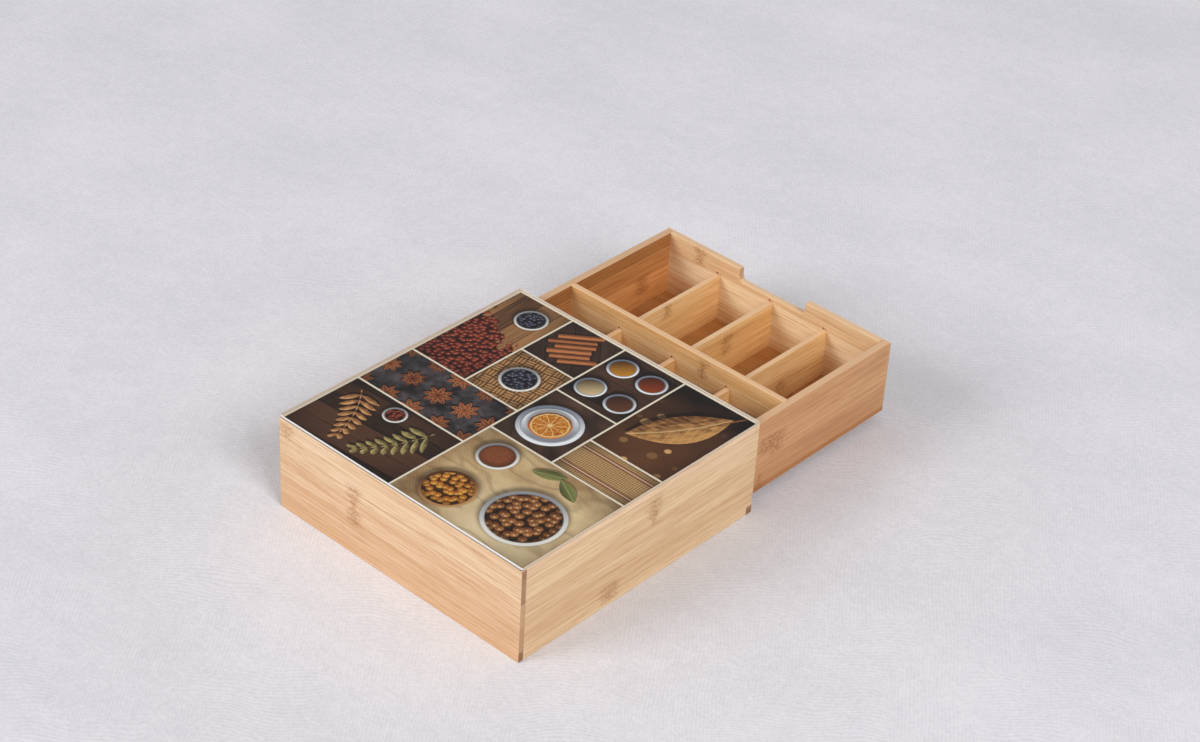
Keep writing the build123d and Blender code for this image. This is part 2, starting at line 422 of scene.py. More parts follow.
# %% [markdown]
# Each board gets the recipe with its own directions and tones: pale, tan and the
# dark of its fibres. The case is pale honey, the drawer's outer sides are a little
# redder, and the drawer's floor is browner still. Seams are given where a joint
# shows on a board's face. A knuckle is given by its place along the grain, its
# height and half its height across the strip.

# %% Dress the boards
HONEY = (srgb(248, 217, 180), srgb(224, 179, 135), srgb(170, 110, 56))
CASE_SIDE = (srgb(242, 211, 169), srgb(220, 179, 135), srgb(168, 110, 58))
FRONT = (srgb(255, 230, 190), srgb(236, 196, 144), srgb(176, 112, 52))
INNER = (srgb(253, 211, 156), srgb(236, 182, 118), srgb(160, 98, 42))
OUTER = (srgb(221, 169, 119), srgb(195, 140, 92), srgb(158, 92, 42))
INNER_WALL = (srgb(236, 174, 110), srgb(210, 143, 84), srgb(136, 78, 34))
DIVIDER = (srgb(248, 207, 148), srgb(230, 179, 113), srgb(156, 102, 48))
FLOOR_TONES = (srgb(196, 140, 84), srgb(174, 116, 62), srgb(112, 62, 26))
# Tones for upward faces: partly the planed wood's own, partly painted light from above.
PLANED_AND_LIT_TOP = (srgb(242, 206, 168), srgb(226, 182, 140))
LOWER_EDGE, REDDER = srgb(238, 222, 200), srgb(243, 230, 218)
BROWN, BROWNER = srgb(226, 219, 212), srgb(196, 184, 172)

EDGE_BAND = 0.006
SIDE_LOW, SIDE_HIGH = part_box("case_side_left")
BACK_SEAM = ("Y", SIDE_HIGH[1])
MOUTH_SEAM = ("Y", SIDE_LOW[1] + EDGE_BAND)
TOP_SEAM = ("Z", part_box("case_top_board")[0][2])
DRAWER_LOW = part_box("drawer_side_left")[0][2]
ABOVE_ALL = 0.2
FRONT_STRIP = 0.071
WALL_STRIPS = (0.053, 0.076)
case_side = dict(along="Y", across="Z", tones=CASE_SIDE, strip=0.027, even=0.35)
drawer_side = dict(along="Y", across="Z", strip=0.026, even=0.4, planed_and_lit_top=PLANED_AND_LIT_TOP)
crossways = dict(along="X", across="Z")
BOARDS = {
    "case_side_left": dict(
        case_side, seed=1, seams=(BACK_SEAM,),
        knuckles=((-0.014, 0.076, 0.017), (0.042, 0.014, 0.012))),
    "case_side_right": dict(
        case_side, seed=2, seams=(BACK_SEAM,), knuckles=((0.06, 0.05, 0.013),)),
    "case_back": dict(
        crossways, seed=3, tones=HONEY, strip=0.027, seams=(BACK_SEAM,),
        knuckles=((0.055, 0.054, 0.024), (0.146, 0.09, 0.01))),
    "case_base": dict(along="X", across="Y", seed=4, tones=OUTER),
    "case_front_rail": dict(crossways, seed=5, tones=OUTER),
    "case_top_board": dict(
        along="Y", across="X", seed=6, tones=HONEY, seams=(TOP_SEAM, BACK_SEAM, MOUTH_SEAM)),
    "drawer_front": dict(
        crossways, seed=7, tones=FRONT, strip=0.028, planed_and_lit_top=PLANED_AND_LIT_TOP,
        knuckles=((0.096, 0.081, 0.012),), stains=((FRONT_STRIP, ABOVE_ALL, REDDER),)),
    "drawer_back": dict(crossways, seed=8, tones=INNER, planed_and_lit_top=PLANED_AND_LIT_TOP),
    "drawer_side_left": dict(
        drawer_side, seed=9, tones=OUTER,
        stains=((DRAWER_LOW, DRAWER_LOW + EDGE_BAND, LOWER_EDGE),),
        knuckles=((-0.2, 0.056, 0.014), (-0.184, 0.06, 0.011), (-0.177, 0.019, 0.012))),
    "drawer_side_right": dict(
        drawer_side, seed=10, tones=INNER_WALL, knuckles=((-0.322, 0.044, 0.012),),
        stains=((WALL_STRIPS[1], ABOVE_ALL, BROWNER), (*WALL_STRIPS, BROWN))),
    "drawer_floor": dict(along="X", across="Y", seed=11, tones=FLOOR_TONES),
    "long_divider": dict(
        crossways, seed=12, tones=INNER, knuckles=((-0.038, 0.078, 0.013),), planed_and_lit_top=PLANED_AND_LIT_TOP),
}
for row, first_seed in (("front", 13), ("rear", 16)):
    for number in (1, 2, 3):
        BOARDS[f"cross_divider_{row}_{number}"] = dict(
            along="Y", across="Z", seed=first_seed + number, tones=DIVIDER, strip=0.03,
            planed_and_lit_top=PLANED_AND_LIT_TOP)
BOARDS["cross_divider_front_2"]["knuckles"] = ((-0.292, 0.053, 0.014),)

for name, facts in BOARDS.items():
    nodes[name].material_slots[0].material = bamboo("bamboo_" + name, **facts)
print("boards dressed:", len(BOARDS))

# %% [markdown]
# Under the glass lies a printed sheet: a collage of small pictures with cream
# lines between them. The pictures here are plain still lifes of this lesson's
# own, in browns, cream and a cool white. Each is a thin tile of its own, so that
# each has a short recipe and, when it is exported, an image of its own. The cream
# lines are one more piece, which fills the gaps and the rim.
# The tiles' sizes are in millimetres: left, right, front and back edge.

# %% The collage's layout
LINE, RIM = 2.2, 2.8
SHEET_X, SHEET_Y = 154.6, 157.6
LAYOUT = {
    "bowls": (-SHEET_X, 13, 27, SHEET_Y),
    "fronds": (13, SHEET_X, 62, SHEET_Y),
    "stars": (13, SHEET_X, -8, 62),
    "citrus": (-64, 13, -60, 27),
    "striped_cloth": (-SHEET_X, -64, -24, 27),
    "big_leaf": (-SHEET_X, -64, -SHEET_Y, -24),
    "pearls": (82, SHEET_X, -SHEET_Y, -8),
    "basket": (13, 82, -84, -8),
    "sticks": (13, 82, -SHEET_Y, -84),
    "dishes": (-64, 13, -SHEET_Y, -60),
}


def tile_edges(name):
    """A tile's edges: half a line inside a neighbour's, or the rim inside the sheet's."""
    left, right, front, back = LAYOUT[name]
    x0 = left + (RIM if left == -SHEET_X else LINE / 2)
    x1 = right - (RIM if right == SHEET_X else LINE / 2)
    y0 = front + (RIM if front == -SHEET_Y else LINE / 2)
    y1 = back - (RIM if back == SHEET_Y else LINE / 2)
    return x0, x1, y0, y1


covered = sum((x1 - x0) * (y1 - y0) for x0, x1, y0, y1 in map(tile_edges, LAYOUT))
print("pictures cover", round(100 * covered / (4 * SHEET_X * SHEET_Y)), "% of the sheet")

# %% [markdown]
# A tile is a thin sheet of paper between the top board and the glass. Its upper
# side is what shows, so the map used for baking gives that side nearly the whole
# image, and the underside and the edges a narrow strip of it.

# %% Tile and line pieces
SHEET_LOW, SHEET_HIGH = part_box("print_sheet")
UNDER_GLASS = 0.00005
PAPER_LOW = SHEET_LOW[2]
PAPER_HIGH = SHEET_HIGH[2] - UNDER_GLASS
PAPER_SHINE = 0.06
CREAM_TONES = (srgb(226, 212, 192), srgb(240, 230, 212))


def add_piece(name, mesh, material):
    piece = bpy.data.objects.new(name, mesh)
    bpy.context.scene.collection.objects.link(piece)
    mesh.materials.append(material)
    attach(piece, "case")
    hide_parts("print_sheet")
    return piece


def paper_tile(name, material):
    x0, x1, y0, y1 = [edge / 1000 for edge in tile_edges(name)]
    rim = [(x0, y0), (x1, y0), (x1, y1), (x0, y1)]
    points = [(x, y, z) for z in (PAPER_LOW, PAPER_HIGH) for x, y in rim]
    sides = [(i, (i + 1) % 4, (i + 1) % 4 + 4, i + 4) for i in range(4)]
    mesh = bpy.data.meshes.new("print_" + name)
    mesh.from_pydata(points, [], [(4, 5, 6, 7), (3, 2, 1, 0), *sides])
    sheet_map = mesh.uv_layers.new(name="OFBake")
    spots = [(0.01, 0.07, 0.98, 0.92)] + [(0.01 + 0.2 * i, 0.01, 0.15, 0.03) for i in range(5)]
    for face, (left, low, wide, tall) in zip(mesh.polygons, spots):
        for loop, (a, b) in zip(face.loop_indices, ((0, 0), (1, 0), (1, 1), (0, 1))):
            sheet_map.data[loop].uv = (left + a * wide, low + b * tall)
    add_piece("print_" + name, mesh, material)


def cream_lines(material):
    """All of the sheet that no picture covers, cut into a grid and given a thickness."""
    tiles = [tile_edges(name) for name in LAYOUT]
    xs = sorted({-SHEET_X, SHEET_X, *(edge for tile in tiles for edge in tile[:2])})
    ys = sorted({-SHEET_Y, SHEET_Y, *(edge for tile in tiles for edge in tile[2:])})
    shape = bmesh.new()
    corner = {(x, y): shape.verts.new((x / 1000, y / 1000, PAPER_LOW)) for x in xs for y in ys}
    for x0, x1 in zip(xs, xs[1:]):
        for y0, y1 in zip(ys, ys[1:]):
            x, y = (x0 + x1) / 2, (y0 + y1) / 2
            if not any(l < x < r and f < y < b for l, r, f, b in tiles):
                shape.faces.new([corner[p] for p in ((x0, y0), (x0, y1), (x1, y1), (x1, y0))])
    loose = [vert for vert in shape.verts if not vert.link_faces]
    bmesh.ops.delete(shape, geom=loose, context="VERTS")
    raised = bmesh.ops.extrude_face_region(shape, geom=shape.faces[:])["geom"]
    for vert in (part for part in raised if isinstance(part, bmesh.types.BMVert)):
        vert.co.z = PAPER_HIGH
    bmesh.ops.recalc_face_normals(shape, faces=shape.faces)
    mesh = bpy.data.meshes.new("print_lines")
    shape.to_mesh(mesh)
    shape.free()
    return add_piece("print_lines", mesh, material)


def cream_paper():
    recipe = Recipe("cream_paper")
    x, y, _ = recipe.place()
    mottle = recipe.noise(x * 900, y * 900)
    colour = recipe.mix(mottle, *CREAM_TONES)
    return recipe.finish(recipe.surface(colour, mottle * 0.1 + 0.4, PAPER_SHINE))


lines = cream_lines(cream_paper())
print("cream lines:", len(lines.data.polygons), "faces")

# %% [markdown]
# The pictures share a few brushes. A Picture knows the point's place in
# millimetres from the middle of its tile. It can turn its axes, measure how far
# away a spot is, and lay one colour over another where a mask says so. Round
# things, leaves, sticks and heaps of berries are all made from distances.


# %% Brushes
class Picture(Recipe):
    """A tile's material, painted in layers, in millimetres from the tile's middle."""

    def __init__(self, name):
        super().__init__("picture_" + name)
        x0, x1, y0, y1 = tile_edges(name)
        self.half = ((x1 - x0) / 2, (y1 - y0) / 2)
        x, y, _ = self.place()
        self.x, self.y = x * 1000 - (x0 + x1) / 2, y * 1000 - (y0 + y1) / 2
        self.paint = None
        self.tile = name

    def turned(self, degrees, cx=0.0, cy=0.0):
        """The place along and across a line through a spot."""
        c, s = math.cos(math.radians(degrees)), math.sin(math.radians(degrees))
        dx, dy = self.x - cx, self.y - cy
        return dx * c + dy * s, dy * c - dx * s

    def length(self, dx, dy):
        return self.node("VectorMath", {"operation": "LENGTH"}, (self.point(dx, dy),), "Value")

    def far(self, cx, cy):
        return self.length(self.x - cx, self.y - cy)

    def cells(self, x, y, randomness):
        """Voronoi cells: how far each one's middle is, where it is, and a random colour."""
        inputs = {"Vector": self.point(x, y), "Scale": 1.0, "Randomness": randomness}
        made = self.node("TexVoronoi", {"voronoi_dimensions": "2D"}, inputs).socket.node
        return [Wire(self, made.outputs[key]) for key in ("Distance", "Position", "Color")]

    def lay(self, mask, colour):
        self.paint = self.mix(mask, self.paint, colour)

    def shadow(self, cx, cy, radius, soft=6.0):
        away = self.far(cx + 2.5, cy - 2.5)
        self.lay(away.fall(radius - 1, radius + soft) * 0.6, srgb(20, 12, 8))

    def planks(self, degrees, pitch, tones, seed):
        """Boards side by side, each with its own tone and a dark gap."""
        u, v = self.turned(degrees)
        tone, shift, _ = self.chance((v / pitch).floor(), seed)
        grain = self.noise(u * 0.03 + shift * 9, v * 0.9, seed, detail=3.0, roughness=0.6)
        self.paint = self.mix((grain * 0.9 + tone * 0.5 - 0.2).rise(0.1, 0.9), *tones)
        self.lay(abs((v / pitch).fract() - 0.5).rise(0.47, 0.495) * 0.85, srgb(16, 10, 8))

    def heap(self, size, tones, seed=0.0):
        """Round berries or nuts, lit from the upper left: their colour, and one's own draw."""
        x, y = self.x / size + seed, self.y / size
        away, middle, random = self.cells(x, y, 0.8)
        middle_x, middle_y, _ = self.parts(middle)
        dx, dy = x - middle_x, y - middle_y
        draw = self.parts(random, "SeparateColor")[0]
        light = (dy - dx) * 0.75 + 0.5
        colour = self.mix((light * 0.8 + draw * 0.35).rise(0.1, 1.1), *tones[:2])
        shine = self.length(dx + 0.14, dy - 0.14).fall(0.04, 0.17) * 0.7
        colour = self.mix(shine, colour, tones[2])
        crack = away.rise(0.42, 0.6)
        return self.mix(crack * 0.9, colour, srgb(14, 8, 7)), draw

    def bowl(self, cx, cy, radius, rim_tones, filling, rim=3.2):
        """A round dish from above, with a lit rim, a filling and a soft inner shadow."""
        self.shadow(cx, cy, radius)
        away = self.far(cx, cy)
        side = ((self.y - cy) - (self.x - cx)) / (radius * 2.8) + 0.5
        self.lay(away.fall(radius - 0.4, radius + 0.4), self.mix(side.rise(0.1, 0.9), *rim_tones))
        self.lay(abs(away - (radius - rim)).fall(0.2, 1.2) * 0.55, srgb(70, 50, 38))
        inner = away.fall(radius - rim - 0.5, radius - rim + 0.3)
        self.lay(inner, filling)
        hollow = self.far(cx + 1.5, cy - 1.5).rise(radius - rim - 7, radius - rim + 1)
        self.lay(inner * hollow * 0.5, srgb(18, 10, 6))

    def stick(self, cx, cy, degrees, length, radius):
        """A round-ended rod: how far the point is from its middle line, 1 at its edge."""
        u, v = self.turned(degrees, cx, cy)
        beyond = (abs(u) - length / 2).most(0.0)
        return self.length(beyond, v) / radius

    def leaf(self, u, v, length, width):
        """A pointed leaf along u: its mask and its veins."""
        t = u / length * 2
        edge = abs(v) - (1 - t * t) * (width / 2)
        mask = edge.fall(-0.35, 0.25)
        rib = abs(v).fall(0.1, width * 0.025 + 0.25)
        side = ((u - abs(v) * 0.9) / (length * 0.085)).fract()
        veins = abs(side - 0.5).rise(0.4, 0.5) * 0.5
        return mask, rib.most(veins * mask)

    def vignette(self, depth=0.55):
        """Darker corners."""
        tx, ty = abs(self.x) / self.half[0], abs(self.y) / self.half[1]
        corner = self.length(tx, ty).rise(0.7, 1.45)
        self.lay(corner * depth, srgb(14, 9, 8))

    def show(self):
        """Make the tile's piece with this picture on it."""
        gloss = self.noise(self.x * 0.2, self.y * 0.2)
        ink = self.surface(self.paint, gloss * 0.1 + 0.4, PAPER_SHINE)
        paper_tile(self.tile, self.finish(ink))
        wide, tall = (round(half * 2) for half in self.half)
        print("picture", self.tile, wide, "x", tall, "mm,", len(self.tree.nodes), "nodes")


BLUE_BERRY = (srgb(26, 26, 34), srgb(78, 78, 98), srgb(184, 188, 206))
RED_BERRY = (srgb(74, 22, 15), srgb(160, 66, 42), srgb(230, 168, 142))
NUT = (srgb(86, 46, 22), srgb(182, 120, 68), srgb(246, 216, 174))
PETAL = (srgb(150, 78, 20), srgb(226, 156, 60), srgb(252, 224, 150))
CERAMIC = (srgb(150, 150, 154), srgb(240, 238, 232))
print("brushes ready")

# %% [markdown]
# The largest picture is the light one: bowls on pale woven linen, one heaped with
# nuts, one with petals and one with ground spice, and two leaves between them. The
# linen is two sine waves, one for each direction of its threads.

# %% Picture of bowls
bowls = Picture("bowls")
THREAD = math.tau / 1.9
warp = ((bowls.x + bowls.y * 0.05) * THREAD).sine()
weft = ((bowls.y - bowls.x * 0.05) * THREAD).sine()
cloudy = bowls.noise(bowls.x * 0.022, bowls.y * 0.022, 3.0, detail=3.0)
linen = warp * weft * 0.2 + cloudy * 1.2 - 0.1
bowls.paint = bowls.mix(linen.rise(0.1, 0.95), srgb(158, 116, 70), srgb(236, 210, 162))
bowls.lay(bowls.far(-30, 34).fall(10, 95) * 0.5, srgb(250, 232, 194))
drift = bowls.noise(bowls.x * 0.012 + bowls.y * 0.01, bowls.y * 0.03, 5.0)
fold = abs(drift - 0.5).fall(0.0, 0.05)
bowls.lay(fold * 0.3, srgb(110, 76, 44))

nuts, _ = bowls.heap(8.2, NUT)
petals, _ = bowls.heap(6.5, PETAL, 7.0)
crumbs = bowls.noise(bowls.x * 0.5, bowls.y * 0.5, detail=3.0)
powder = bowls.mix(crumbs, srgb(84, 38, 20), srgb(168, 96, 58))
bowls.bowl(-34, 12, 39, CERAMIC, nuts, rim=4.5)
bowls.bowl(42, 30, 27, (srgb(92, 54, 28), srgb(196, 144, 92)), petals)
bowls.bowl(46, -36, 20, CERAMIC, powder)

for cx, cy, degrees in ((-6, -50, 24), (-34, -44, 152)):
    leaf_u, leaf_v = bowls.turned(degrees, cx + 1.5, cy - 2)
    bowls.lay(bowls.leaf(leaf_u, leaf_v, 36, 15)[0] * 0.5, srgb(40, 26, 14))
    leaf_u, leaf_v = bowls.turned(degrees, cx, cy)
    blade, veins = bowls.leaf(leaf_u, leaf_v, 35, 14)
    bowls.lay(blade, bowls.mix(leaf_v * 0.07 + 0.5, srgb(64, 70, 34), srgb(138, 140, 78)))
    bowls.lay(blade * veins * 0.6, srgb(196, 192, 134))
bowls.vignette(0.45)
bowls.show()

# %% [markdown]
# Fronds on dark planks. A frond is one leaf, repeated along its stem by taking
# the fraction of the place along it, and mirrored by taking the absolute value of
# the place across it. The leaves get shorter towards the tip.

# %% Picture of fronds
fronds = Picture("fronds")
fronds.planks(4, 21, (srgb(30, 20, 17), srgb(92, 60, 42)), 2.0)


def frond(picture, cx, cy, degrees, length, tones):
    u, v = picture.turned(degrees, cx, cy)
    v = v + u * u * 0.0035
    step = length / 9
    swept = u - abs(v) * 0.55
    lean_u = ((swept / step).fract() - 0.5) * step
    whole = (swept - lean_u) / length + 0.5
    t = abs(v) / ((1 - whole * 0.75) * (length * 0.26))
    blade = (abs(lean_u) - (1 - t) * t * (step * 1.6)).fall(-0.3, 0.3) * t.fall(0.97, 1.0)
    blade = blade * whole.rise(0.04, 0.05) * whole.fall(0.94, 0.95)
    along = u / length + 0.5
    stem = abs(v).fall(0.35, 0.8) * along.rise(0.0, 0.02) * along.fall(0.9, 0.94)
    mask = blade.most(stem)
    tone = picture.noise(u * 0.2, v * 0.2, cx, detail=2.0) * 0.9 + lean_u * 0.09
    return mask, picture.mix(tone.rise(0.1, 0.9), *tones)


DRY_GREEN = (srgb(84, 70, 36), srgb(190, 172, 112))
DRY_BROWN = (srgb(116, 66, 34), srgb(222, 168, 112))
for cx, cy, degrees, length, tones in ((-30, 4, 62, 86, DRY_GREEN), (28, -2, 118, 84, DRY_BROWN)):
    shade, _ = frond(fronds, cx + 2, cy - 2.5, degrees, length, tones)
    fronds.lay(shade * 0.7, srgb(12, 8, 6))
    fronds.lay(*frond(fronds, cx, cy, degrees, length, tones))
fronds.bowl(2, -30, 12, CERAMIC, fronds.heap(3.6, RED_BERRY, 9.0)[0], rim=2.4)
fronds.vignette()
fronds.show()

# %% [markdown]
# Eight-pointed seed stars on slate. One arm is drawn in a wedge, and the angle
# round the middle, cut into eighths, repeats it. The slate is cut into squares
# in the same way, and each square turns its star by a random angle.

# %% Picture of stars
stars = Picture("stars")
cool = stars.noise(stars.x * 0.05, stars.y * 0.05, 1.0, detail=4.0, roughness=0.6)
stars.paint = stars.mix(cool.rise(0.3, 0.75), srgb(26, 22, 24), srgb(92, 84, 86))
STAR_CELL = 34.0
cell_x, cell_y = stars.x / STAR_CELL + 0.5, stars.y / STAR_CELL + 0.5
turn_draw, size_draw, tone_draw = stars.chance(cell_x.floor() * 7 + cell_y.floor() * 13, 4.0)
star_x = (cell_x.fract() - 0.5) * STAR_CELL - (turn_draw - 0.5) * 5
star_y = (cell_y.fract() - 0.5) * STAR_CELL - (size_draw - 0.5) * 5


def star(picture, dx, dy, grow):
    away = picture.length(dx, dy) / (size_draw * 0.25 + 0.8)
    wedge = dy.maths("ARCTAN2", dx) / (math.tau / 8) + turn_draw * 3
    angle = (wedge.fract() - 0.5) * (math.tau / 8)
    arm_u, arm_v = away * angle.maths("COSINE") - 8, away * angle.sine()
    mask, _ = picture.leaf(arm_u, arm_v, 15 + grow, 5.6 + grow)
    seed = picture.length(arm_u - 0.6, arm_v * 1.9)
    return mask, seed, arm_v


star_shade, _, _ = star(stars, star_x - 1.6, star_y + 1.6, 1.2)
stars.lay(star_shade * 0.75, srgb(8, 6, 6))
star_mask, seed_away, arm_v = star(stars, star_x, star_y, 0.0)
husk = (abs(arm_v) * 0.3 + tone_draw * 0.5).rise(0.0, 1.0)
stars.lay(star_mask, stars.mix(husk, srgb(92, 42, 24), srgb(176, 104, 62)))
stars.lay(star_mask * seed_away.fall(1.8, 2.6), srgb(62, 24, 14))
stars.lay(star_mask * seed_away.fall(0.3, 1.2) * 0.9, srgb(232, 190, 150))
stars.vignette()
stars.show()

# %% [markdown]
# A slice of dried citrus on a plate, seen from straight above on dark cloth. The
# plate is nothing but rings round one spot, with the light side of each towards
# the upper left. The slice cuts the angle round that spot into ten segments, with
# the paler skins where two of them meet.

# %% Picture of citrus
citrus = Picture("citrus")
warp = ((citrus.x + citrus.y) * (math.tau / 2.4)).sine()
folds = citrus.noise(citrus.x * 0.03 + citrus.y * 0.02, citrus.y * 0.02, 7.0)
citrus.paint = citrus.mix((folds * 1.1 + warp * 0.06 - 0.05).rise(0.2, 0.9),
                          srgb(24, 17, 16), srgb(112, 80, 62))
PLATE_AT = (2, 3)
SEGMENTS = 10
plate_dx, plate_dy = citrus.x - PLATE_AT[0], citrus.y - PLATE_AT[1]
steep = (plate_dy - plate_dx) / 80 + 0.5
china = citrus.mix(steep.rise(0.0, 1.0), srgb(126, 132, 146), srgb(244, 246, 250))
china_inside = citrus.mix(steep.rise(0.15, 0.85), srgb(236, 238, 242), srgb(140, 140, 148))
citrus.shadow(*PLATE_AT, 32)
away = citrus.far(*PLATE_AT)
citrus.lay(away.fall(31.6, 32.4), china)
citrus.lay(abs(away - 27).fall(0.3, 1.4) * 0.5, srgb(96, 96, 108))
citrus.lay(away.fall(26.0, 27.0), china_inside)
citrus.shadow(PLATE_AT[0] + 1, PLATE_AT[1] - 1, 20, soft=4)
uneven = away + (citrus.noise(plate_dx * 0.2, plate_dy * 0.2, 4.0) - 0.5) * 2
peel = citrus.mix(steep.rise(0.2, 0.8), srgb(122, 52, 16), srgb(214, 128, 48))
citrus.lay(uneven.fall(20.2, 20.9), peel)
citrus.lay(uneven.fall(18.2, 18.9), srgb(232, 196, 132))
turn = plate_dy.maths("ARCTAN2", plate_dx) * (SEGMENTS / math.tau)
skin = abs(turn.fract() - 0.5) + away.fall(1.0, 13.0) * 0.09
pulp = citrus.noise(turn * 5, away * 0.25, 2.0, detail=3.0, roughness=0.6)
flesh = citrus.mix(pulp.rise(0.3, 0.75), srgb(150, 58, 14), srgb(240, 166, 66))
citrus.lay(uneven.fall(16.6, 17.4) * skin.fall(0.43, 0.49) * away.rise(2.0, 3.4), flesh)
citrus.vignette()
citrus.show()

# %% [markdown]
# Coarse striped cloth is a checkerboard of threads: in each square one of the two
# sets lies on top, and its thread is lit along its middle and dark at its edges.

# %% Picture of striped cloth
striped = Picture("striped_cloth")
YARN = 2.6
sag = striped.noise(striped.x * 0.04, striped.y * 0.04, 2.0, detail=1.0) * 5
cloth_x, cloth_y = (striped.x + sag) / YARN, (striped.y + sag * 0.7) / YARN
over = ((cloth_x.floor() + cloth_y.floor()) / 2).fract().rise(0.2, 0.3)
threads = abs((cloth_x * math.pi).sine()) * over + abs((cloth_y * math.pi).sine()) * (1 - over)
fuzz = striped.noise(striped.x * 0.9, striped.y * 0.9, 4.0, detail=3.0)
coarse = (threads * 0.8 + fuzz * 0.5 - 0.15).rise(0.1, 0.95)
striped.paint = striped.mix(coarse, srgb(74, 46, 26), srgb(206, 166, 114))
stripe = abs(abs(striped.y) - 15)
striped.lay(stripe.fall(2.6, 3.2) * 0.7, srgb(120, 50, 34))
striped.lay(stripe.fall(0.5, 0.9) * 0.7, srgb(232, 210, 176))
striped.vignette(0.65)
striped.show()

# %% [markdown]
# One large dry leaf in front of soft lights. The lights are the cells of a Voronoi
# pattern, each with a radius and a strength of its own, blurred by a wide edge.

# %% Picture of a large leaf
big_leaf = Picture("big_leaf")
drop = big_leaf.y / (big_leaf.half[1] * 2) + 0.5
murk = big_leaf.noise(big_leaf.x * 0.02, big_leaf.y * 0.02, 6.0)
dusk = (drop * 0.6 + murk * 0.6 - 0.2).rise(0.0, 0.9)
big_leaf.paint = big_leaf.mix(dusk, srgb(22, 14, 12), srgb(110, 68, 40))
LIGHTS_APART = 19
lights = big_leaf.cells(big_leaf.x / LIGHTS_APART, big_leaf.y / LIGHTS_APART, 0.5)
light_away, _, random = lights
size_of, strength_of, _ = big_leaf.parts(random, "SeparateColor")[:3]
disc = (light_away - size_of * 0.15).fall(0.1, 0.16) * strength_of.rise(0.3, 1.0)
big_leaf.lay(disc * drop.rise(0.2, 0.8) * 0.75, srgb(248, 196, 126))


def curled(picture, cx, cy):
    u, v = picture.turned(58, cx, cy)
    return u, v + u * u * 0.002 - 3


leaf_u, leaf_v = curled(big_leaf, 3.5, -12)
big_leaf.lay(big_leaf.leaf(leaf_u, leaf_v, 106, 44)[0] * 0.7, srgb(10, 7, 6))
leaf_u, leaf_v = curled(big_leaf, 0, -8)
blade, veins = big_leaf.leaf(leaf_u, leaf_v, 104, 42)
blotch = big_leaf.noise(leaf_u * 0.07, leaf_v * 0.16, 2.0, detail=4.0, roughness=0.6)
dryness = (blotch + leaf_v * 0.012).rise(0.25, 0.75)
big_leaf.lay(blade, big_leaf.mix(dryness, srgb(104, 60, 30), srgb(204, 150, 88)))
big_leaf.lay(blade * veins * 0.6, srgb(240, 206, 150))
stalk = big_leaf.stick(-28, -53, 62, 22, 1.0)
big_leaf.lay(stalk.fall(0.8, 1.2), srgb(150, 96, 54))
big_leaf.vignette(0.5)
big_leaf.show()

# %% [markdown]
# A heap of red berries, round as pearls, runs down into the picture, with a bowl
# of blue ones on a wooden board at its foot. The heap's edge is a noise added to
# the height, and the berries near it are thinned out at random, as loose ones
# would lie.

# %% Picture of pearls
pearls = Picture("pearls")
pearls.planks(92, 24, (srgb(84, 52, 32), srgb(182, 132, 86)), 5.0)
slope = pearls.noise(pearls.x * 0.03, pearls.y * 0.03, 9.0) * 60
climb = slope + pearls.y + pearls.x * 0.5
round_pearls, loose_draw = pearls.heap(5.4, RED_BERRY, 2.0)
loose = loose_draw * 16
pearls.lay((climb - 2.5 + loose).rise(24, 26) * 0.6, srgb(26, 14, 10))
pearls.lay((climb + loose).rise(26, 27), round_pearls)
pearls.bowl(-8, -44, 17, CERAMIC, pearls.heap(4.0, BLUE_BERRY, 5.0)[0], rim=2.6)
pearls.vignette(0.6)
pearls.show()

# %% [markdown]
# Basket work: in every other square the canes run the other way, and each cane
# is bright along its back. A bowl of blue berries stands on it.

# %% Picture of a basket
basket = Picture("basket")
SQUARE, CANES = 11, 3
cane_u, cane_v = basket.turned(12)
square_u, square_v = cane_u / SQUARE, cane_v / SQUARE
which = ((square_u.floor() + square_v.floor()) / 2).fract().rise(0.2, 0.3)
canes_across = abs((square_v * (math.pi * CANES)).sine())
canes_down = abs((square_u * (math.pi * CANES)).sine())
from_middle = abs(square_u.fract() - 0.5) * which + abs(square_v.fract() - 0.5) * (1 - which)
arch = from_middle.fall(0.25, 0.55)
cane = (canes_across * which + canes_down * (1 - which)) * (arch * 0.7 + 0.3)
streaky = basket.noise(cane_u * 0.5, cane_v * 0.5, 1.0, detail=3.0)
woven = (cane * 0.85 + streaky * 0.4 - 0.12).rise(0.05, 0.95)
basket.paint = basket.mix(woven, srgb(38, 22, 13), srgb(196, 144, 92))
basket.bowl(0, 0, 20, CERAMIC, basket.heap(5.0, BLUE_BERRY, 12.0)[0], rim=3.0)
basket.vignette(0.6)
basket.show()

# %% [markdown]
# Bark sticks side by side. The place across them is cut into equal widths, and
# each stick is lit as a rod, has its own tone and its own length, and shows the
# curl of its bark as a dark line.

